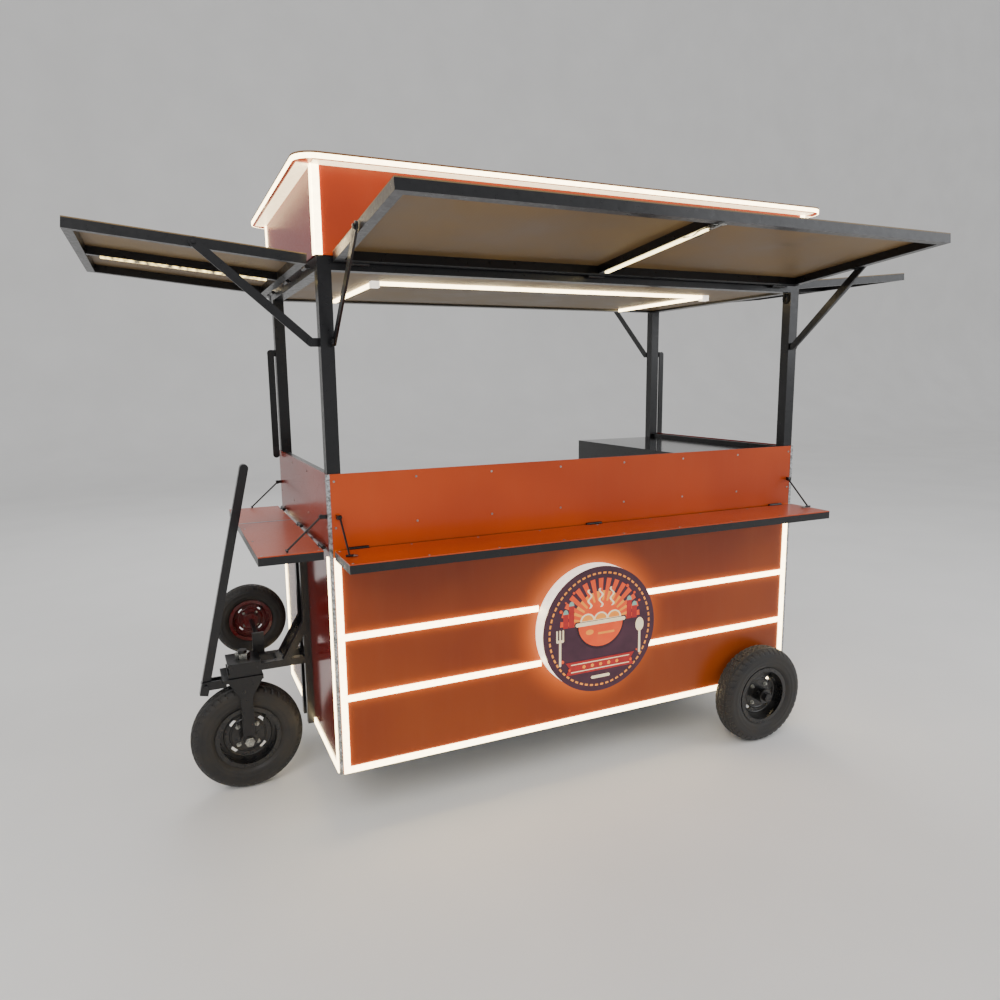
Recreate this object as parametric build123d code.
from build123d import *
import os
from math import atan2, cos, degrees, hypot, radians, sin, sqrt

# Push vending cart, in millimetres. +Z is up from the ground, +X runs along the cart
# towards its axle, -X towards the steering wheel, and -Y is the front, where food is served.
# The origin is on the ground under the middle of the body.

# ---- driving dimensions -------------------------------------------------------------
BODY_LENGTH = 1830.0
BODY_WIDTH = 928.0
BODY_BOTTOM = 210.0
SHELF_HEIGHT = 932.0
APRON_TOP = 1160.0
ROOF_BOTTOM = 1744.0
HEADER_TOP = 2027.0

SKIN = 4.0
TUBE = 40.0
TUBE_WALL = 2.0
RAIL = 25.0
RAIL_WALL = 1.5

CORNICE_OVERHANG = 50.0
CORNICE_THICKNESS = 18.0
CORNICE_RADIUS = 60.0

FLAP_DEPTH = 620.0
FLAP_TUBE = 26.0
FLAP_SHEET = 3.0
FLAP_LIFT = 5.5
FLAP_HINGE_DROP = 21.0
FLAP_CLEARANCE = 2.0
FLAP_LIGHT_GAP = 65.0

SHELF_DEPTH = 198.0
SHELF_TUBE = 25.0
SHELF_SHEET = 3.0
FRONT_SHELF_INSET = 12.0
LEFT_SHELF_INSET = 4.0

HINGE_OFFSET = 8.0
KNUCKLE_RADIUS = 6.0
KNUCKLE_LENGTH = 30.0
KNUCKLE_GAP = 0.5
HINGE_PIN_RADIUS = 3.0
HINGE_EDGE_GAP = 9.0
HINGE_LEAF = 3.0
RUNNING_FIT = 0.05

PROP_WIDTH = 25.0
PROP_THICKNESS = 6.0
PROP_GAP = 3.0
PROP_DROP = 220.0
PROP_REACH = 310.0
PROP_STANDOFF = 20.0
PROP_PIN_RADIUS = 4.0
LUG_THICKNESS = 4.0
LUG_GAP = 2.0

STAY_RADIUS = 3.0
STAY_HOOK_RADIUS = 3.5
STAY_EYE = 4.0
STAY_RISE = 100.0
STAY_REACH = 105.0
STAY_STANDOFF = 16.0
STAY_INSET = 20.0

STRIP_WIDTH = 20.0
STRIP_THICKNESS = 4.0
STRIP_INSET = 12.0
STRIP_SHARES = (0.341, 0.615)

SIGN_RADIUS = 225.0
SIGN_SHARE = 0.492
SIGN_DEPTH = 54.0
SIGN_FACE = 5.0
SIGN_GAP = 8.0

WHEEL_RADIUS = 190.5
TYRE_WIDTH = 90.0
RIM_RADIUS = 101.0
RIM_WIDTH_SHARE = 0.72
RIM_LIP_SHARE = 0.11
TYRE_WALL_SHARE = 0.09
AXLE_INSET = 180.0
WHEEL_OUTSET = 56.0
AXLE_RADIUS = 10.0
AXLE_BAR = 30.0
HUB_RADIUS = 28.0
HUB_LENGTH = 90.0

STEER_OUTSET = 230.0
STEER_HUB_LENGTH = 110.0
FORK_LEG = 8.0
FORK_LEG_WIDTH = 40.0
CROWN_CLEARANCE = 30.0
CROWN_THICKNESS = 14.0
CROWN_FRONT = 75.0
CROWN_BACK = 60.0
KING_PIN_RADIUS = 15.0
KING_PIN_NUT_RADIUS = 25.5
TOW_ARM_CLEARANCE = 15.0
TOW_ARM_BEND_OUTSET = 93.0
TOW_ARM_RISE = 136.0
TOW_ARM_GAUGE = 66.0
HEAD_PLATE_HALF = 55.0
HEAD_ARM_REACH = 50.0

DRAWBAR_TUBE = 28.0
DRAWBAR_LENGTH = 765.0
DRAWBAR_TAIL = 36.0
DRAWBAR_LEAN = 13.0
DRAWBAR_PIVOT_OUTSET = 127.0
DRAWBAR_PIVOT_DROP = 13.0
DRAWBAR_PIN_RADIUS = 6.0
DRAWBAR_EAR_RADIUS = 15.0
GUSSET_SHARE = 1.8

SPARE_RADIUS = 135.0
SPARE_WIDTH = 70.0
SPARE_RIM_RADIUS = 72.0
SPARE_OUTSET = 169.0
SPARE_Y = 300.0
SPARE_RISE = 82.0
SPINDLE_RADIUS = 8.0

COUNTER_LENGTH = 415.0
COUNTER_TOP = 1140.0
COUNTER_SLAB = 20.0
COUNTER_WALL = 10.0
WORKTOP = 2.0

DOOR_BOTTOM = 405.0
DOOR_THICKNESS = 18.0
DOOR_GAP = 1.5
HANDLE_HEIGHT = 160.0
HANDLE_REACH = 30.0
HANDLE_RADIUS = 6.0

CEILING_HEIGHT = 1752.0
CEILING_SHEET = 4.0
CEILING_LIGHT_INSET = 235.0
CEILING_LIGHT_FRONT = -190.0
CEILING_LIGHT_END_GAP = 12.0
CEILING_LIGHT_WIDTH = 12.0
CEILING_LIGHT_DROP = 12.0

DRIVER_LENGTH = 183.0
DRIVER_DEPTH = 60.0
DRIVER_GAP = 20.0

SCREW_RADIUS = 3.5
SCREW_HEAD = 1.2
SCREW_EDGE = 22.0
TRIM_LEG = 10.0
TRIM_THICKNESS = 1.0
FIT_GAP = 1.0

# ---- places that follow from them ---------------------------------------------------
HALF_X = BODY_LENGTH / 2
HALF_Y = BODY_WIDTH / 2
FRAME_X = HALF_X - SKIN
FRAME_Y = HALF_Y - SKIN
INNER_X = FRAME_X - TUBE
INNER_Y = FRAME_Y - TUBE
FLOOR = BODY_BOTTOM + TUBE
PANEL_HEIGHT = SHELF_HEIGHT - BODY_BOTTOM
STRIP_LEVELS = [BODY_BOTTOM + share * PANEL_HEIGHT for share in STRIP_SHARES]
SIGN_HEIGHT = BODY_BOTTOM + SIGN_SHARE * PANEL_HEIGHT
ROOF_TOP = ROOF_BOTTOM + TUBE
FLAP_HINGE_Z = ROOF_TOP - FLAP_HINGE_DROP
PROP_PIVOT_Z = FLAP_HINGE_Z - PROP_DROP
FRONT_SHELF_HALF = HALF_X - FRONT_SHELF_INSET
LEFT_SHELF_HALF = HALF_Y - LEFT_SHELF_INSET
AXLE_X = HALF_X - AXLE_INSET
AXLE_Z = WHEEL_RADIUS
WHEEL_TRACK = 2 * (HALF_Y + WHEEL_OUTSET)
STEER_X = -HALF_X - STEER_OUTSET
CROWN_BOTTOM = 2 * WHEEL_RADIUS + CROWN_CLEARANCE
CROWN_TOP = CROWN_BOTTOM + CROWN_THICKNESS
TOW_ARM_BOTTOM = CROWN_TOP + TOW_ARM_CLEARANCE
TOW_ARM_TOP = TOW_ARM_BOTTOM + RAIL
TOW_ARM_BEND_X = -HALF_X - TOW_ARM_BEND_OUTSET
DRAWBAR_PIVOT_X = STEER_X - DRAWBAR_PIVOT_OUTSET
DRAWBAR_PIVOT_Z = CROWN_BOTTOM - DRAWBAR_PIVOT_DROP
SPARE_X = -HALF_X - SPARE_OUTSET
SPARE_Z = TOW_ARM_BOTTOM + SPARE_RISE
COUNTER_RIGHT = FRAME_X - RAIL - FIT_GAP
COUNTER_LEFT = COUNTER_RIGHT - COUNTER_LENGTH
DOOR_TOP = SHELF_HEIGHT - SKIN
CEILING_LIGHT_HALF = HALF_X - CEILING_LIGHT_INSET
CEILING_LIGHT_BACK = INNER_Y - CEILING_LIGHT_END_GAP
DOOR_EDGE = HALF_X - TRIM_LEG - LUG_GAP
DOOR_AXIS_X = HALF_X - TRIM_LEG / 2
DOOR_AXIS_Y = FRAME_Y + DOOR_THICKNESS + HINGE_OFFSET
FRONT, RIGHT, REAR, LEFT = 0, 90, 180, -90
FACE = {FRONT: HALF_Y, REAR: HALF_Y, LEFT: HALF_X, RIGHT: HALF_X}
OPENING_HALF = {FRONT: INNER_X, REAR: INNER_X, LEFT: INNER_Y, RIGHT: INNER_Y}


# ---- helpers ------------------------------------------------------------------------
def block(x, y, z):
    """A box that spans three (low, high) pairs."""
    spans = (x, y, z)
    centre = [(low + high) / 2 for low, high in spans]
    return Pos(*centre) * Box(*[high - low for low, high in spans])


def inset(span, amount):
    """A (low, high) pair made shorter by the amount at both ends."""
    return (span[0] + amount, span[1] - amount)


def tube(x, y, z, wall, along):
    """A hollow rectangular tube, open at both ends, that runs along one axis number."""
    spans = [x, y, z]
    inner = [span if axis == along else inset(span, wall) for axis, span in enumerate(spans)]
    return block(*spans) - block(*inner)


def ring(x, y, z, size, wall):
    """A flat rectangular frame of welded hollow tube with mitred corners."""
    opening = block(inset(x, size), inset(y, size), z)
    channel = block(inset(x, wall), inset(y, wall), inset(z, wall))
    core = block(inset(x, size - wall), inset(y, size - wall), inset(z, wall))
    return block(x, y, z) - opening - (channel - core)


def rod(start, end, radius):
    """A round bar from one point to another."""
    run = Vector(*end) - Vector(*start)
    place = Plane(origin=start, z_dir=run).location
    return place * Cylinder(radius, run.length, align=(Align.CENTER, Align.CENTER, Align.MIN))


def lying(radius, x, y, z):
    """A cylinder along Y at x, z that spans the (low, high) pair y."""
    return rod((x, y[0], z), (x, y[1], z), radius)


def hexagon_nut(across, y, x=0.0, z=0.0):
    """A hexagonal nut whose axis lies along Y."""
    low, high = y
    prism = extrude(RegularPolygon(across / sqrt(3), 6), high - low)
    return Pos(x, high, z) * Rot(90, 0, 0) * prism


def side(face, distance, height):
    """The place of a hinge line: local +X along the face, local -Y outwards."""
    turn = radians(face)
    return Location((distance * sin(turn), -distance * cos(turn), height), (0, 0, face))


def post_cutouts(gap):
    """Four square prisms, one round each corner post, that notch a level sheet."""
    tall = (BODY_BOTTOM, ROOF_TOP)
    x, y = (INNER_X - gap, HALF_X), (INNER_Y - gap, HALF_Y)
    corner = block(x, y, tall)
    pair = corner + mirror(corner, Plane.YZ)
    return pair + mirror(pair, Plane.XZ)


def evenly(low, high, count):
    """Places spread evenly from low to high."""
    return [low + (high - low) * step / (count - 1) for step in range(count)]


def write(name, *pieces):
    """Write one node: a single piece, or several separate solids."""
    solids = [solid for piece in pieces for solid in piece.solids()]
    shape = solids[0] if len(solids) == 1 else Compound(children=solids)
    export_step(shape, f"parts/{name}.step")


# ---- hinges -------------------------------------------------------------------------
def fixed_knuckle(place, reach):
    """The half of a butt hinge on the cart: leaf, centre knuckle and pin."""
    half = KNUCKLE_LENGTH / 2
    leaf = block((-half, half), (0, reach), (-HINGE_LEAF / 2, HINGE_LEAF / 2))
    barrel = rod((-half, 0, 0), (half, 0, 0), KNUCKLE_RADIUS)
    pin = rod((-2 * half - KNUCKLE_GAP, 0, 0), (2 * half + KNUCKLE_GAP, 0, 0), HINGE_PIN_RADIUS)
    return place * (leaf + barrel + pin)


def moving_knuckles(reach, leaf_span):
    """The two outer knuckles of a butt hinge, with the leaf that joins them to their panel."""
    inner = KNUCKLE_LENGTH / 2 + KNUCKLE_GAP
    outer = KNUCKLE_LENGTH
    halves = []
    for low, high in ((-outer, -inner), (inner, outer)):
        barrel = rod((low, 0, 0), (high, 0, 0), KNUCKLE_RADIUS)
        bore = rod((low, 0, 0), (high, 0, 0), HINGE_PIN_RADIUS + RUNNING_FIT)
        leaf = block((low, high), (-reach, 0), leaf_span)
        halves.append(barrel + leaf - bore)
    return halves[0] + halves[1]


def hinge_places(half, count):
    """Where the hinges stand along a panel of the given half length."""
    margin = 2.5 * KNUCKLE_LENGTH
    return evenly(-half + margin, half - margin, count)


# ---- frame --------------------------------------------------------------------------
def base_frame():
    """Floor frame: a ring of square tube with two cross members."""
    x, y, z = (-FRAME_X, FRAME_X), (-FRAME_Y, FRAME_Y), (BODY_BOTTOM, FLOOR)
    frame = ring(x, y, z, TUBE, TUBE_WALL)
    for centre in evenly(-FRAME_X, FRAME_X, 4)[1:3]:
        frame += tube((centre - TUBE / 2, centre + TUBE / 2), (-INNER_Y, INNER_Y), z, TUBE_WALL, 1)
    return frame


def post_frame():
    """Four corner posts, joined by rails at the shelf and behind the top of the three aprons."""
    frame = None
    for x in ((-FRAME_X, -INNER_X), (INNER_X, FRAME_X)):
        for y in ((-FRAME_Y, -INNER_Y), (INNER_Y, FRAME_Y)):
            post = tube(x, y, (FLOOR, ROOF_BOTTOM), TUBE_WALL, 2)
            frame = post if frame is None else frame + post
    levels = ((SHELF_HEIGHT - TUBE, SHELF_HEIGHT, TUBE, TUBE_WALL, (-1, 1)),
              (APRON_TOP - RAIL - SKIN, APRON_TOP - SKIN, RAIL, RAIL_WALL, (-1,)))
    for low, high, size, wall, long_sides in levels:
        for sign in long_sides:
            y = sorted((sign * FRAME_Y, sign * (FRAME_Y - size)))
            frame += tube((-INNER_X, INNER_X), y, (low, high), wall, 0)
        for sign in (-1, 1):
            x = sorted((sign * FRAME_X, sign * (FRAME_X - size)))
            frame += tube(x, (-INNER_Y, INNER_Y), (low, high), wall, 1)
    return frame


def roof_frame():
    """Roof ring on the posts, with the light frame that carries the header box."""
    x, y = (-FRAME_X, FRAME_X), (-FRAME_Y, FRAME_Y)
    frame = ring(x, y, (ROOF_BOTTOM, ROOF_TOP), TUBE, TUBE_WALL)
    frame += tube((-TUBE / 2, TUBE / 2), (-INNER_Y, INNER_Y), (ROOF_TOP - RAIL, ROOF_TOP), RAIL_WALL, 1)
    frame += ring(x, y, (HEADER_TOP - RAIL, HEADER_TOP), RAIL, RAIL_WALL)
    for x in ((-FRAME_X, RAIL - FRAME_X), (FRAME_X - RAIL, FRAME_X)):
        for y in ((-FRAME_Y, RAIL - FRAME_Y), (FRAME_Y - RAIL, FRAME_Y)):
            frame += tube(x, y, (ROOF_TOP, HEADER_TOP - RAIL), RAIL_WALL, 2)
    return frame


# ---- sheets and panels --------------------------------------------------------------
def level_sheet(x, y, z):
    """A level sheet inside the cladding, notched round the corner posts."""
    return block(x, y, z) - post_cutouts(FIT_GAP)


def long_sheets(z):
    """Front and rear cladding sheets between two heights."""
    front = block((-HALF_X, HALF_X), (-HALF_Y, -FRAME_Y), z)
    return front, mirror(front, Plane.XZ)


def end_sheets(z):
    """Left and right cladding sheets between two heights."""
    left = block((-HALF_X, -FRAME_X), (-FRAME_Y, FRAME_Y), z)
    return left, mirror(left, Plane.YZ)


def cornice():
    """Roof board that oversails the header box, with rounded corners."""
    overhang = 2 * CORNICE_OVERHANG
    outline = RectangleRounded(BODY_LENGTH + overhang, BODY_WIDTH + overhang, CORNICE_RADIUS)
    return Pos(0, 0, HEADER_TOP) * extrude(outline, CORNICE_THICKNESS)


def raised_counter():
    """Black counter box over the axle end, open in front and behind, on the shelf rails."""
    depth = FRAME_Y - RAIL - FIT_GAP
    x, y, z = (COUNTER_LEFT, COUNTER_RIGHT), (-depth, depth), (SHELF_HEIGHT, COUNTER_TOP)
    hollow = block(inset(x, COUNTER_WALL), y, (SHELF_HEIGHT + COUNTER_WALL, COUNTER_TOP - COUNTER_SLAB))
    return block(x, y, z) - hollow - post_cutouts(FIT_GAP)


def sign_box():
    """Round light box: a translucent can, open at the front."""
    back = -HALF_Y
    can = lying(SIGN_RADIUS, 0, (back - SIGN_DEPTH, back), SIGN_HEIGHT)
    return can - lying(SIGN_RADIUS - SKIN, 0, (back - SIGN_DEPTH, back - SKIN), SIGN_HEIGHT)


def sign_face():
    """Printed disc that closes the light box."""
    rear = -HALF_Y - SIGN_DEPTH
    return lying(SIGN_RADIUS, 0, (rear - SIGN_FACE, rear), SIGN_HEIGHT)


# ---- lights, trims and screws -------------------------------------------------------
def front_strips():
    """Light strips on the front panel, broken where the sign stands."""
    y = (-HALF_Y - STRIP_THICKNESS, -HALF_Y)
    low, high = BODY_BOTTOM, SHELF_HEIGHT - SHELF_TUBE - FIT_GAP
    outer = HALF_X - STRIP_INSET
    inner = outer - STRIP_WIDTH
    strips = [block((-outer, outer), y, (low, low + STRIP_WIDTH))]
    for sign in (-1, 1):
        upright = sorted((sign * inner, sign * outer))
        strips.append(block(upright, y, (low + STRIP_WIDTH, high)))
        for level in STRIP_LEVELS:
            edge = sqrt(SIGN_RADIUS ** 2 - (SIGN_HEIGHT - level) ** 2) + SIGN_GAP
            line = sorted((sign * edge, sign * inner))
            strips.append(block(line, y, (level - STRIP_WIDTH / 2, level + STRIP_WIDTH / 2)))
    return strips


def end_strips():
    """Light strips round the lower edges of both end panels."""
    x = (-HALF_X - STRIP_THICKNESS, -HALF_X)
    low, high = BODY_BOTTOM, SHELF_HEIGHT - SHELF_TUBE - FIT_GAP
    outer = HALF_Y - STRIP_INSET
    inner = outer - STRIP_WIDTH
    strips = []
    for sign in (-1, 1):
        strips.append(block(x, sorted((sign * inner, sign * outer)), (low, high)))
        clear = TOW_ARM_GAUGE / 2 + RAIL + FIT_GAP
        strips.append(block(x, sorted((sign * clear, sign * inner)), (low, low + STRIP_WIDTH)))
    return strips + [mirror(strip, Plane.YZ) for strip in strips]


def header_strips():
    """Upright light strips on both faces of each header corner, and a ring round the cornice."""
    z = (ROOF_TOP, HEADER_TOP)
    along_x = block((HALF_X - STRIP_WIDTH, HALF_X), (-HALF_Y - STRIP_THICKNESS, -HALF_Y), z)
    along_y = block((HALF_X, HALF_X + STRIP_THICKNESS), (-HALF_Y, STRIP_WIDTH - HALF_Y), z)
    strips = [along_x, along_y, mirror(along_x, Plane.YZ), mirror(along_y, Plane.YZ)]
    strips += [mirror(strip, Plane.XZ) for strip in strips]
    size_x = BODY_LENGTH + 2 * CORNICE_OVERHANG
    size_y = BODY_WIDTH + 2 * CORNICE_OVERHANG
    grow = 2 * STRIP_THICKNESS
    outer = RectangleRounded(size_x + grow, size_y + grow, CORNICE_RADIUS + STRIP_THICKNESS)
    inner = RectangleRounded(size_x, size_y, CORNICE_RADIUS)
    strips.append(Pos(0, 0, HEADER_TOP) * extrude(outer - inner, CORNICE_THICKNESS))
    return strips


def ceiling_lights():
    """Three light bars under the ceiling, open towards the rear."""
    z = (CEILING_HEIGHT - CEILING_LIGHT_DROP, CEILING_HEIGHT)
    half, width = CEILING_LIGHT_HALF, CEILING_LIGHT_WIDTH
    bars = [block((-half, half), (CEILING_LIGHT_FRONT - width, CEILING_LIGHT_FRONT), z)]
    for x in ((-half, width - half), (half - width, half)):
        bars.append(block(x, (CEILING_LIGHT_FRONT, CEILING_LIGHT_BACK), z))
    return bars


def corner_trims():
    """Aluminium angles on the upright corners: to the apron top in front, to the worktop behind."""
    reach = HALF_X + TRIM_THICKNESS
    depth = HALF_Y + TRIM_THICKNESS
    angles = []
    for top in (APRON_TOP, SHELF_HEIGHT):
        z = (BODY_BOTTOM, top)
        angle = block((HALF_X - TRIM_LEG, reach), (-depth, TRIM_LEG - HALF_Y), z)
        angle -= block((0, HALF_X), (-HALF_Y, 0), z)
        angles.append(angle)
    front, rear = angles[0], mirror(angles[1], Plane.XZ)
    return [front, mirror(front, Plane.YZ), rear, mirror(rear, Plane.YZ)]


def panel_screws():
    """Pan-head screws that hold the three aprons."""
    heads = []
    rows = (APRON_TOP - SCREW_EDGE, SHELF_HEIGHT + 3 * SCREW_EDGE)
    for face in (FRONT, LEFT, RIGHT):
        half = (HALF_X if face == FRONT else HALF_Y) - SCREW_EDGE
        count = 8 if face == FRONT else 4
        for height in rows:
            for x in evenly(-half, half, count):
                head = rod((x, 0, 0), (x, -SCREW_HEAD, 0), SCREW_RADIUS)
                heads.append(side(face, FACE[face], height) * head)
    return heads


def led_driver():
    """Case of the lighting driver on the cabinet floor, by the rear door."""
    left = DRIVER_LENGTH - HALF_X
    back = INNER_Y - DRIVER_GAP
    z = (FLOOR + WORKTOP, FLOOR + TUBE)
    return block((left, left + DRIVER_LENGTH), (back - DRIVER_DEPTH, back), z)


# ---- flaps and their props ----------------------------------------------------------
def flap(face):
    """One awning flap in its raised place: welded frame with hinge knuckles, and its sheet."""
    half = OPENING_HALF[face] - FLAP_CLEARANCE
    y, z = (-FLAP_DEPTH, -HINGE_EDGE_GAP), (0, FLAP_TUBE)
    frame = ring((-half, half), y, z, FLAP_TUBE, RAIL_WALL)
    frame += tube((-RAIL / 2, RAIL / 2), inset(y, FLAP_TUBE), (FLAP_TUBE - RAIL, FLAP_TUBE), RAIL_WALL, 1)
    for x in hinge_places(half, 3):
        frame += Pos(x, 0, 0) * moving_knuckles(HINGE_EDGE_GAP + HINGE_PIN_RADIUS, (0, HINGE_LEAF))
    sheet = block((-half, half), y, (FLAP_TUBE, FLAP_TUBE + FLAP_SHEET))
    place = side(face, FACE[face] + HINGE_OFFSET, FLAP_HINGE_Z) * Rot(-FLAP_LIFT, 0, 0)
    return place * frame, place * sheet


def flap_light(face):
    """A light bar under a flap's middle tube."""
    half = CEILING_LIGHT_WIDTH / 2
    z = (FLAP_TUBE - RAIL - CEILING_LIGHT_DROP / 2, FLAP_TUBE - RAIL)
    bar = block((-half, half), (FLAP_LIGHT_GAP - FLAP_DEPTH, -FLAP_LIGHT_GAP), z)
    return side(face, FACE[face] + HINGE_OFFSET, FLAP_HINGE_Z) * Rot(-FLAP_LIFT, 0, 0) * bar


def prop_bar(face, end_sign, raised):
    """A flat prop on its post, reaching up to the flap's edge or hanging straight down."""
    lift = radians(FLAP_LIFT)
    middle = FLAP_TUBE / 2
    top_y = -HINGE_OFFSET - PROP_REACH * cos(lift) + middle * sin(lift)
    top_z = FLAP_HINGE_Z + PROP_REACH * sin(lift) + middle * cos(lift)
    run_y = top_y + PROP_STANDOFF - SKIN
    run_z = top_z - PROP_PIVOT_Z
    length = hypot(run_y, run_z)
    inner = OPENING_HALF[face] - FLAP_CLEARANCE + PROP_GAP
    x = sorted((end_sign * inner, end_sign * (inner + PROP_THICKNESS)))
    bar = block(x, (-PROP_WIDTH / 2, PROP_WIDTH / 2), (-length, 0))
    for z in (0, -length):
        bar += rod((x[0], 0, z), (x[1], 0, z), PROP_WIDTH / 2)
    bar -= rod((x[0] - FIT_GAP, 0, 0), (x[1] + FIT_GAP, 0, 0), PROP_PIN_RADIUS + RUNNING_FIT)
    swing = degrees(atan2(-run_y, -run_z)) if raised else 0
    place = side(face, FACE[face] - SKIN + PROP_STANDOFF, PROP_PIVOT_Z)
    return place * Rot(-swing, 0, 0) * bar


def prop_lug(face, end_sign):
    """The lug and pin on a post that a prop turns on."""
    start = OPENING_HALF[face] - FLAP_CLEARANCE + PROP_GAP
    low = start + PROP_THICKNESS + LUG_GAP
    x = sorted((end_sign * low, end_sign * (low + LUG_THICKNESS)))
    plate = block(x, (-PROP_STANDOFF, 0), (-PROP_WIDTH / 2, PROP_WIDTH / 2))
    plate += rod((x[0], -PROP_STANDOFF, 0), (x[1], -PROP_STANDOFF, 0), PROP_WIDTH / 2)
    ends = [end_sign * (start - FIT_GAP), end_sign * (low + LUG_THICKNESS + LUG_GAP)]
    pin = rod((ends[0], -PROP_STANDOFF, 0), (ends[1], -PROP_STANDOFF, 0), PROP_PIN_RADIUS)
    return side(face, FACE[face] - SKIN, PROP_PIVOT_Z) * (plate + pin)


# ---- shelves and their stays --------------------------------------------------------
def shelf(face, half):
    """One fold-up shelf: welded frame with hinge knuckles, and its sheet."""
    y = (-SHELF_DEPTH, -HINGE_EDGE_GAP)
    frame = ring((-half, half), y, (-SHELF_TUBE - SHELF_SHEET, -SHELF_SHEET), SHELF_TUBE, RAIL_WALL)
    for x in evenly(-half, half, 5)[1:4]:
        frame += tube((x - RAIL / 2, x + RAIL / 2), inset(y, SHELF_TUBE),
                      (-SHELF_TUBE - SHELF_SHEET, -SHELF_SHEET), RAIL_WALL, 1)
    reach = HINGE_EDGE_GAP + HINGE_PIN_RADIUS
    for x in hinge_places(half, 3):
        frame += Pos(x, 0, 0) * moving_knuckles(reach, (-SHELF_SHEET - HINGE_LEAF, -SHELF_SHEET))
    sheet = block((-half, half), y, (-SHELF_SHEET, 0))
    sheet -= knuckle_notches(half)
    place = side(face, FACE[face] + HINGE_OFFSET, SHELF_HEIGHT)
    return place * frame, place * sheet


def knuckle_notches(half):
    """Clearance round each hinge along a shelf's inner edge."""
    reach = HINGE_EDGE_GAP + HINGE_PIN_RADIUS + FIT_GAP
    span = KNUCKLE_LENGTH + FIT_GAP
    notches = None
    for x in hinge_places(half, 3):
        notch = block((x - span, x + span), (-reach, 0), (-SHELF_SHEET, SHELF_SHEET))
        notches = notch if notches is None else notches + notch
    return notches


def stays(face, half):
    """The two hook rods of a shelf: ring at the apron, hook just over the shelf."""
    fall = STAY_RISE - 2 * STAY_RADIUS
    rods = []
    for sign in (-1, 1):
        x = sign * (half - STAY_INSET)
        eye = rod((x - STAY_EYE, 0, 0), (x + STAY_EYE, 0, 0), 2 * STAY_RADIUS + FIT_GAP)
        start = 2 * STAY_RADIUS / hypot(STAY_REACH, fall)
        arm = rod((x, -STAY_REACH * start, -fall * start), (x, -STAY_REACH, -fall), STAY_RADIUS)
        grip = SCREW_EDGE / 2
        hook = rod((x - grip, -STAY_REACH, -fall), (x + grip, -STAY_REACH, -fall), STAY_HOOK_RADIUS)
        bore = rod((x - SCREW_EDGE, 0, 0), (x + SCREW_EDGE, 0, 0), STAY_RADIUS + RUNNING_FIT)
        rods.append(eye - bore + arm + hook)
    place = side(face, FACE[face] + STAY_STANDOFF, SHELF_HEIGHT + STAY_RISE)
    return [place * piece for piece in rods]


def stay_eyes(face, half):
    """Small lugs with pins on the apron that carry the hook rods."""
    eyes = []
    for sign in (-1, 1):
        x = sign * (half - STAY_INSET)
        near = x + sign * (STAY_EYE + FIT_GAP)
        far = near + sign * LUG_THICKNESS
        reach = STAY_STANDOFF + 2 * STAY_RADIUS
        plate = block(sorted((near, far)), (-reach, 0), (-2 * STAY_RADIUS, 2 * STAY_RADIUS))
        tip = x - sign * (STAY_EYE + LUG_GAP)
        pin = rod((tip, -STAY_STANDOFF, 0), (far, -STAY_STANDOFF, 0), STAY_RADIUS)
        eyes.append(side(face, FACE[face], SHELF_HEIGHT + STAY_RISE) * (plate + pin))
    return eyes


# ---- rear doors ---------------------------------------------------------------------
def door(sign):
    """One rear door with its pull handle and hinge knuckles."""
    face = FRAME_Y + FIT_GAP
    outer = face + DOOR_THICKNESS
    leaf = block(sorted((sign * DOOR_GAP, sign * DOOR_EDGE)), (face, outer), (DOOR_BOTTOM, DOOR_TOP))
    axis_x = sign * DOOR_AXIS_X
    for height in door_hinge_heights():
        for low, high in ((-KNUCKLE_LENGTH, -KNUCKLE_LENGTH / 2 - KNUCKLE_GAP),
                          (KNUCKLE_LENGTH / 2 + KNUCKLE_GAP, KNUCKLE_LENGTH)):
            bottom, top = (axis_x, DOOR_AXIS_Y, height + low), (axis_x, DOOR_AXIS_Y, height + high)
            x = sorted((axis_x, axis_x - sign * TUBE))
            strap = block(x, (outer, outer + HINGE_LEAF), (bottom[2], top[2]))
            bore = rod(bottom, top, HINGE_PIN_RADIUS + RUNNING_FIT)
            leaf += rod(bottom, top, KNUCKLE_RADIUS) + strap - bore
    grip_x = sign * TUBE * 2
    middle = (DOOR_BOTTOM + DOOR_TOP) / 2
    ends = (middle - HANDLE_HEIGHT / 2, middle + HANDLE_HEIGHT / 2)
    handle = rod((grip_x, outer + HANDLE_REACH, ends[0] - HANDLE_RADIUS),
                 (grip_x, outer + HANDLE_REACH, ends[1] + HANDLE_RADIUS), HANDLE_RADIUS)
    for height in ends:
        handle += rod((grip_x, outer, height), (grip_x, outer + HANDLE_REACH, height), 0.8 * HANDLE_RADIUS)
    return leaf, handle


def door_hinge_heights():
    """Heights of the two hinges of each rear door."""
    return (DOOR_BOTTOM + 3 * KNUCKLE_LENGTH, DOOR_TOP - 3 * KNUCKLE_LENGTH)


def door_fixed_knuckles(sign):
    """The post's halves of a door's hinges, each on a block beside the door's edge."""
    axis_x = sign * DOOR_AXIS_X
    half = KNUCKLE_LENGTH / 2
    x = sorted((sign * (DOOR_EDGE + LUG_GAP), sign * (HALF_X - FIT_GAP)))
    pieces = []
    for height in door_hinge_heights():
        stand = block(x, (HALF_Y + TRIM_THICKNESS, DOOR_AXIS_Y), (height - half, height + half))
        barrel = rod((axis_x, DOOR_AXIS_Y, height - half), (axis_x, DOOR_AXIS_Y, height + half), KNUCKLE_RADIUS)
        reach = 2 * half + KNUCKLE_GAP
        pin = rod((axis_x, DOOR_AXIS_Y, height - reach), (axis_x, DOOR_AXIS_Y, height + reach), HINGE_PIN_RADIUS)
        pieces.append(stand + barrel + pin)
    return pieces


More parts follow.
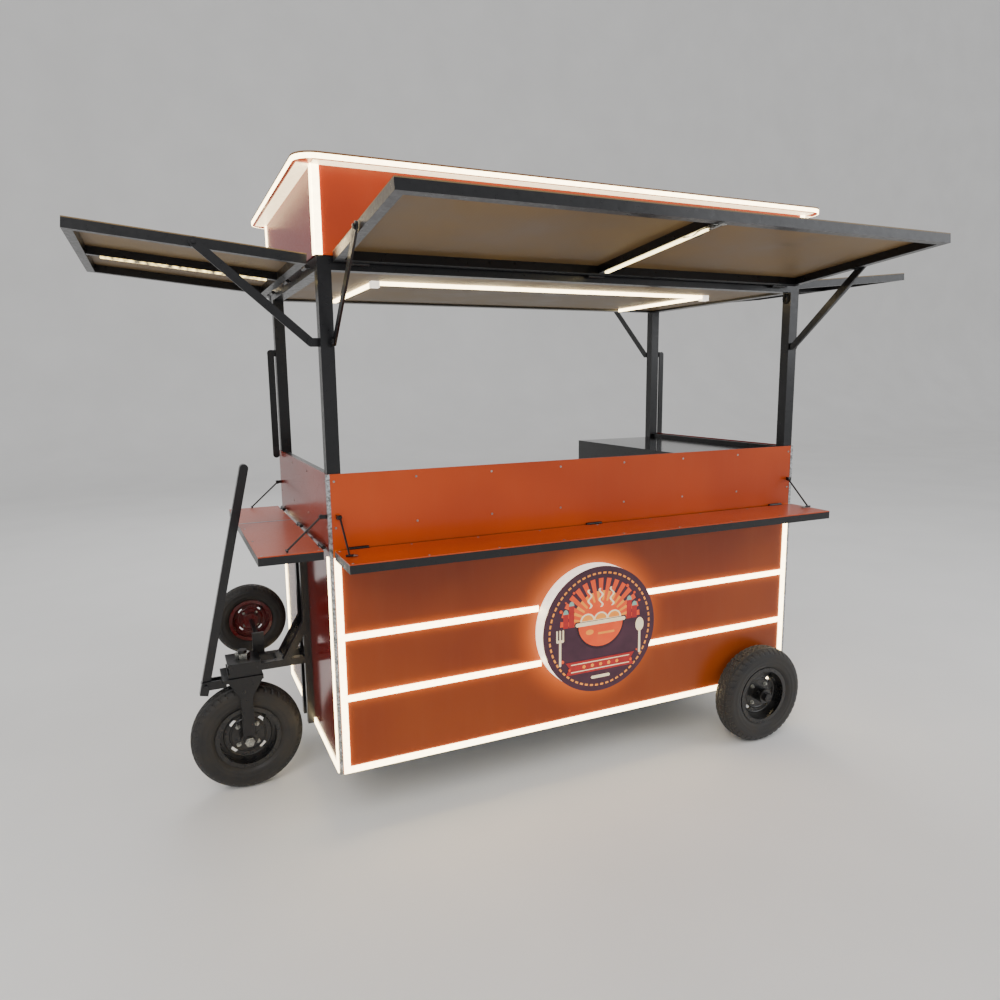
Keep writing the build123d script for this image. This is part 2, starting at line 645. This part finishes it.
def hinge_brackets():
    """Every fixed hinge half on the cart."""
    pieces = []
    for face in (FRONT, REAR, LEFT, RIGHT):
        half = OPENING_HALF[face] - FLAP_CLEARANCE
        place = side(face, FACE[face] + HINGE_OFFSET, FLAP_HINGE_Z)
        pieces += [place * Pos(x, 0, 0) * fixed_knuckle(Location(), HINGE_OFFSET + SKIN)
                   for x in hinge_places(half, 3)]
    for face, half in ((FRONT, FRONT_SHELF_HALF), (LEFT, LEFT_SHELF_HALF)):
        place = side(face, FACE[face] + HINGE_OFFSET, SHELF_HEIGHT)
        pieces += [place * Pos(x, 0, 0) * fixed_knuckle(Location(), HINGE_OFFSET)
                   for x in hinge_places(half, 3)]
    return pieces + door_fixed_knuckles(-1) + door_fixed_knuckles(1)


# ---- wheels, axle and tow gear ------------------------------------------------------
def tyre(x, y, z, radius, width, bead):
    """A pneumatic tyre: a hollow carcass whose narrow beads sit between the rim's flanges."""
    wall = TYRE_WALL_SHARE * width
    side_start = bead * (1 + RIM_LIP_SHARE) + FIT_GAP
    carcass = tyre_section(side_start, radius, width / 2, 0.3 * width, 0.12 * width)
    carcass += tyre_neck(bead, side_start + wall, RIM_WIDTH_SHARE * width / 2)
    carcass -= tyre_section(side_start + wall, radius - wall, width / 2 - wall, 0.3 * width - wall, 0.04 * width)
    carcass -= tyre_neck(bead - FIT_GAP, side_start + 2 * wall, RIM_WIDTH_SHARE * width / 2 - wall)
    return Pos(x, y, z) * revolve(carcass, Axis.Y)


def tyre_section(inner, outer, half, shoulder, heel):
    """Half section of a tyre's body in the XY plane, rounded at tread and side wall."""
    section = Pos((inner + outer) / 2, 0) * Rectangle(outer - inner, 2 * half)
    middle = (inner + outer) / 2
    section = fillet([corner for corner in section.vertices() if corner.X > middle], shoulder)
    return fillet([corner for corner in section.vertices() if corner.X < inner + FIT_GAP / 2], heel)


def tyre_neck(inner, outer, half):
    """Section of the bead zone of a tyre."""
    return Pos((inner + outer) / 2, 0) * Rectangle(outer - inner, 2 * half)


def rim(x, y, z, radius, width, hub_length, bore):
    """A pressed steel rim with its welded hub, bored for the axle."""
    half = width / 2
    lip = RIM_LIP_SHARE * radius
    sheet = 4.0

    def band(outer, inner, low, high):
        return lying(outer, x, (y + low, y + high), z) - lying(inner, x, (y + low, y + high), z)

    wheel = band(radius, radius - sheet, -half, half)
    wheel += band(radius + lip, radius - sheet, -half - sheet, -half)
    wheel += band(radius + lip, radius - sheet, half, half + sheet)
    wheel += band(radius - sheet, bore, -sheet, sheet)
    hub_radius = min(HUB_RADIUS, 0.4 * radius)
    wheel += band(hub_radius, bore, -hub_length / 2, hub_length / 2)
    for turn in range(4):
        angle = radians(45 + 90 * turn)
        reach = 0.66 * radius
        spot = (x + reach * cos(angle), z + reach * sin(angle))
        wheel -= lying(0.13 * radius, spot[0], (y - 2 * sheet, y + 2 * sheet), spot[1])
    return wheel


def road_wheel(x, y, hub_length):
    """Tyre and rim of one road wheel."""
    carcass = tyre(x, y, AXLE_Z, WHEEL_RADIUS, TYRE_WIDTH, RIM_RADIUS)
    disc = rim(x, y, AXLE_Z, RIM_RADIUS, RIM_WIDTH_SHARE * TYRE_WIDTH, hub_length, AXLE_RADIUS + RUNNING_FIT)
    return carcass, disc


def rear_axle():
    """Square axle under the body with round stubs, shoulders, pads and end nuts."""
    half = AXLE_BAR / 2
    bar_end = FRAME_Y
    hub_inner = WHEEL_TRACK / 2 - HUB_LENGTH / 2
    stub_end = WHEEL_TRACK / 2 + HUB_LENGTH / 2 + AXLE_BAR / 2
    bar = block((AXLE_X - half, AXLE_X + half), (-bar_end, bar_end), (AXLE_Z - half, AXLE_Z + half))
    bar += lying(AXLE_RADIUS, AXLE_X, (-stub_end, stub_end), AXLE_Z)
    bar += lying(half, AXLE_X, (KNUCKLE_GAP - hub_inner, hub_inner - KNUCKLE_GAP), AXLE_Z)
    for sign in (-1, 1):
        bar += block((AXLE_X - TUBE, AXLE_X + TUBE), sorted((sign * INNER_Y, sign * FRAME_Y)),
                     (AXLE_Z + half, BODY_BOTTOM))
    low = stub_end - AXLE_BAR / 2 + KNUCKLE_GAP
    nut = hexagon_nut(AXLE_BAR, (low, low + AXLE_BAR / 2), AXLE_X, AXLE_Z)
    nut -= lying(AXLE_RADIUS, AXLE_X, (0, 2 * low), AXLE_Z)
    return [bar, nut, mirror(nut, Plane.XZ)]


def tow_frame():
    """Frame on the left end that carries the steering head: uprights, kinked arms and head tube."""
    middle = TOW_ARM_BOTTOM + RAIL / 2
    upright_x = -HALF_X - RAIL
    head = Pos(STEER_X, 0, 0)
    low_plate = (CROWN_TOP + FIT_GAP, TOW_ARM_BOTTOM)
    top_plate = (TOW_ARM_TOP, TOW_ARM_TOP + TRIM_LEG)
    reach = TOW_ARM_GAUGE / 2 + RAIL
    plate_x = (-HEAD_PLATE_HALF, HEAD_PLATE_HALF)
    frame = head * block(plate_x, (-reach, reach), low_plate)
    frame += head * block(plate_x, (-reach, reach), top_plate)
    frame += rod((STEER_X, 0, low_plate[0]), (STEER_X, 0, top_plate[1]), 2 * KING_PIN_RADIUS)
    for sign in (-1, 1):
        y = sorted((sign * TOW_ARM_GAUGE / 2, sign * reach))
        centre = sign * (TOW_ARM_GAUGE + RAIL) / 2
        frame += block((STEER_X - HEAD_ARM_REACH, upright_x), y, (TOW_ARM_BOTTOM, TOW_ARM_TOP))
        frame += block((upright_x, -HALF_X), y, (BODY_BOTTOM, SHELF_HEIGHT - TUBE))
        bend = (TOW_ARM_BEND_X, centre, middle)
        frame += slanted_bar(bend, (upright_x + RAIL / 2, centre, middle + TOW_ARM_RISE), RAIL)
    frame += block((TOW_ARM_BEND_X - RAIL, TOW_ARM_BEND_X), (-reach, reach), (TOW_ARM_BOTTOM, TOW_ARM_TOP))
    inside = reach - TRIM_LEG
    post_x = (SPARE_X - TUBE / 2, SPARE_X + TUBE / 2)
    post = block(post_x, (inside, reach), (TOW_ARM_TOP, SPARE_Z + TUBE / 2))
    spindle_end = SPARE_Y + SPARE_WIDTH / 2 + 2 * TRIM_LEG
    spindle = lying(SPINDLE_RADIUS, SPARE_X, (inside, spindle_end), SPARE_Z)
    bore = rod((STEER_X, 0, CROWN_BOTTOM), (STEER_X, 0, SPARE_Z), KING_PIN_RADIUS + RUNNING_FIT)
    return frame + post + spindle - bore


def slanted_bar(start, end, size):
    """A square bar from one point to another in an upright plane along X."""
    run = Vector(*end) - Vector(*start)
    slope = degrees(atan2(run.Z, run.X))
    bar = block((0, run.length), (-size / 2, size / 2), (-size / 2, size / 2))
    return Pos(*start) * Rot(0, -slope, 0) * bar


def steer_fork():
    """Steering fork: crown, two legs with gussets, king pin and the ears of the drawbar."""
    inner = STEER_HUB_LENGTH / 2 + FIT_GAP
    outer = inner + FORK_LEG
    half = FORK_LEG_WIDTH / 2
    fork = block((STEER_X - CROWN_FRONT, STEER_X + CROWN_BACK), (-outer, outer), (CROWN_BOTTOM, CROWN_TOP))
    for sign in (-1, 1):
        y = sorted((sign * inner, sign * outer))
        fork += block((STEER_X - half, STEER_X + half), y, (AXLE_Z, CROWN_BOTTOM))
        fork += lying(half, STEER_X, y, AXLE_Z)
        for way in (-1, 1):
            edge = STEER_X + way * half
            gusset = Polyline((edge, CROWN_BOTTOM), (edge + way * half * GUSSET_SHARE, CROWN_BOTTOM),
                              (edge, CROWN_BOTTOM - 3 * half), close=True)
            plate = extrude(Plane.XZ * make_face(gusset), -FORK_LEG)
            fork += Pos(0, y[0], 0) * plate
    fork += rod((STEER_X, 0, CROWN_TOP), (STEER_X, 0, TOW_ARM_TOP + 4 * TRIM_LEG), KING_PIN_RADIUS)
    gap = DRAWBAR_TUBE / 2 + FIT_GAP
    for sign in (-1, 1):
        y = sorted((sign * gap, sign * (gap + HINGE_LEAF * 2)))
        z = (DRAWBAR_PIVOT_Z - DRAWBAR_EAR_RADIUS, DRAWBAR_PIVOT_Z + DRAWBAR_EAR_RADIUS)
        ear = block((DRAWBAR_PIVOT_X, STEER_X - CROWN_BACK), y, z)
        fork += ear + lying(DRAWBAR_EAR_RADIUS, DRAWBAR_PIVOT_X, y, DRAWBAR_PIVOT_Z)
    pin = lying(DRAWBAR_PIN_RADIUS, DRAWBAR_PIVOT_X, (-2 * gap, 2 * gap), DRAWBAR_PIVOT_Z)
    bore = lying(AXLE_RADIUS, STEER_X, (-2 * outer, 2 * outer), AXLE_Z)
    return fork + pin - bore


def steer_bolts():
    """Axle bolt through the fork legs with its nuts, and the nut on the king pin."""
    leg = STEER_HUB_LENGTH / 2 + FIT_GAP + FORK_LEG
    end = leg + AXLE_BAR / 2
    bolt = lying(AXLE_RADIUS, STEER_X, (-end, end), AXLE_Z)
    bolt += hexagon_nut(AXLE_BAR, (leg, end - HINGE_LEAF), STEER_X, AXLE_Z)
    bolt += hexagon_nut(AXLE_BAR, (HINGE_LEAF - end, -leg), STEER_X, AXLE_Z)
    low = TOW_ARM_TOP + TRIM_LEG + KNUCKLE_GAP
    nut = Pos(STEER_X, 0, low) * extrude(RegularPolygon(KING_PIN_NUT_RADIUS, 6), 2 * TRIM_LEG)
    nut -= rod((STEER_X, 0, low - FIT_GAP), (STEER_X, 0, low + 3 * TRIM_LEG), KING_PIN_RADIUS)
    return bolt, nut


def drawbar():
    """Square pull bar with a rounded head, leaning back over the left shelf."""
    half = DRAWBAR_TUBE / 2
    bar = tube((-half, half), (-half, half), (-DRAWBAR_TAIL, DRAWBAR_LENGTH), TUBE_WALL, 2)
    bar += Pos(0, 0, DRAWBAR_LENGTH) * (rod((0, -half, 0), (0, half, 0), half))
    bar += lying(DRAWBAR_PIN_RADIUS + TUBE_WALL, 0, (-half, half), 0)
    bar -= lying(DRAWBAR_PIN_RADIUS + RUNNING_FIT, 0, (-2 * half, 2 * half), 0)
    return Pos(DRAWBAR_PIVOT_X, 0, DRAWBAR_PIVOT_Z) * Rot(0, DRAWBAR_LEAN, 0) * bar


# ---- the whole cart -----------------------------------------------------------------
def write_body():
    """Frame, cladding, counters, roof and everything fixed to them."""
    inside_x, inside_y = (-FRAME_X, FRAME_X), (-FRAME_Y, FRAME_Y)
    lower, upper = (BODY_BOTTOM, SHELF_HEIGHT), (SHELF_HEIGHT, APRON_TOP)
    write("base_frame", base_frame())
    write("post_frame", post_frame())
    write("roof_frame", roof_frame())
    write("floor_panel", level_sheet(inside_x, inside_y, (FLOOR, FLOOR + WORKTOP)))
    write("front_panel", long_sheets(lower)[0])
    write("rear_panel", long_sheets((BODY_BOTTOM, DOOR_BOTTOM - SKIN))[1])
    write("end_panels", *end_sheets(lower))
    write("front_apron", long_sheets(upper)[0])
    write("side_aprons", *end_sheets(upper))
    worktop_x = (-FRAME_X, COUNTER_LEFT - FIT_GAP)
    write("worktop", level_sheet(worktop_x, inside_y, (SHELF_HEIGHT, SHELF_HEIGHT + WORKTOP)))
    write("raised_counter", raised_counter())
    header = (ROOF_TOP, HEADER_TOP)
    write("header_panels", *long_sheets(header), *end_sheets(header))
    write("cornice", cornice())
    ceiling = (CEILING_HEIGHT, CEILING_HEIGHT + CEILING_SHEET)
    write("ceiling_panel", block((-INNER_X, INNER_X), (-INNER_Y, INNER_Y), ceiling))
    write("light_strips", *front_strips(), *end_strips(), *header_strips(), *ceiling_lights())
    write("sign_box", sign_box())
    write("sign_face", sign_face())
    write("corner_trims", *corner_trims())
    write("panel_screws", *panel_screws())
    write("hinge_brackets", *hinge_brackets())
    fittings = [prop_lug(face, sign) for face in (FRONT, REAR, LEFT, RIGHT) for sign in (-1, 1)]
    fittings += stay_eyes(FRONT, FRONT_SHELF_HALF) + stay_eyes(LEFT, LEFT_SHELF_HALF)
    write("prop_brackets", *fittings)
    write("led_driver", led_driver())


def write_opening_parts():
    """Flaps, props, shelves, stays and doors."""
    names = {FRONT: "front", REAR: "rear", LEFT: "left", RIGHT: "right"}
    for face, name in names.items():
        frame, sheet = flap(face)
        write(f"{name}_flap_frame", frame)
        write(f"{name}_flap_sheet", sheet)
    write("front_flap_light", flap_light(FRONT))
    write("left_flap_light", flap_light(LEFT))
    write("front_props", prop_bar(FRONT, -1, True), prop_bar(FRONT, 1, True))
    write("rear_props", prop_bar(REAR, -1, True), prop_bar(REAR, 1, True))
    write("left_front_prop", prop_bar(LEFT, 1, True))
    write("left_rear_prop", prop_bar(LEFT, -1, False))
    write("right_front_prop", prop_bar(RIGHT, -1, True))
    write("right_rear_prop", prop_bar(RIGHT, 1, False))
    for name, face, half in (("front", FRONT, FRONT_SHELF_HALF), ("left", LEFT, LEFT_SHELF_HALF)):
        frame, sheet = shelf(face, half)
        write(f"{name}_shelf_frame", frame)
        write(f"{name}_shelf_top", sheet)
        write(f"{name}_stays", *stays(face, half))
    write("left_door", *door(-1))
    write("right_door", *door(1))


def write_running_gear():
    """Axle, wheels, tow gear and spare wheel."""
    write("rear_axle", *rear_axle())
    wheels = (("front", AXLE_X, -WHEEL_TRACK / 2, HUB_LENGTH),
              ("rear", AXLE_X, WHEEL_TRACK / 2, HUB_LENGTH),
              ("steer", STEER_X, 0.0, STEER_HUB_LENGTH))
    for name, x, y, hub in wheels:
        carcass, disc = road_wheel(x, y, hub)
        write(f"{name}_wheel_tyre", carcass)
        write(f"{name}_wheel_rim", disc)
    write("tow_frame", tow_frame())
    write("steer_fork", steer_fork())
    write("steer_bolts", *steer_bolts())
    write("drawbar", drawbar())
    write("spare_tyre", tyre(SPARE_X, SPARE_Y, SPARE_Z, SPARE_RADIUS, SPARE_WIDTH, SPARE_RIM_RADIUS))
    width = RIM_WIDTH_SHARE * SPARE_WIDTH
    write("spare_rim", rim(SPARE_X, SPARE_Y, SPARE_Z, SPARE_RIM_RADIUS, width, SPARE_WIDTH, SPINDLE_RADIUS))


os.makedirs("parts", exist_ok=True)
write_body()
write_opening_parts()
write_running_gear()
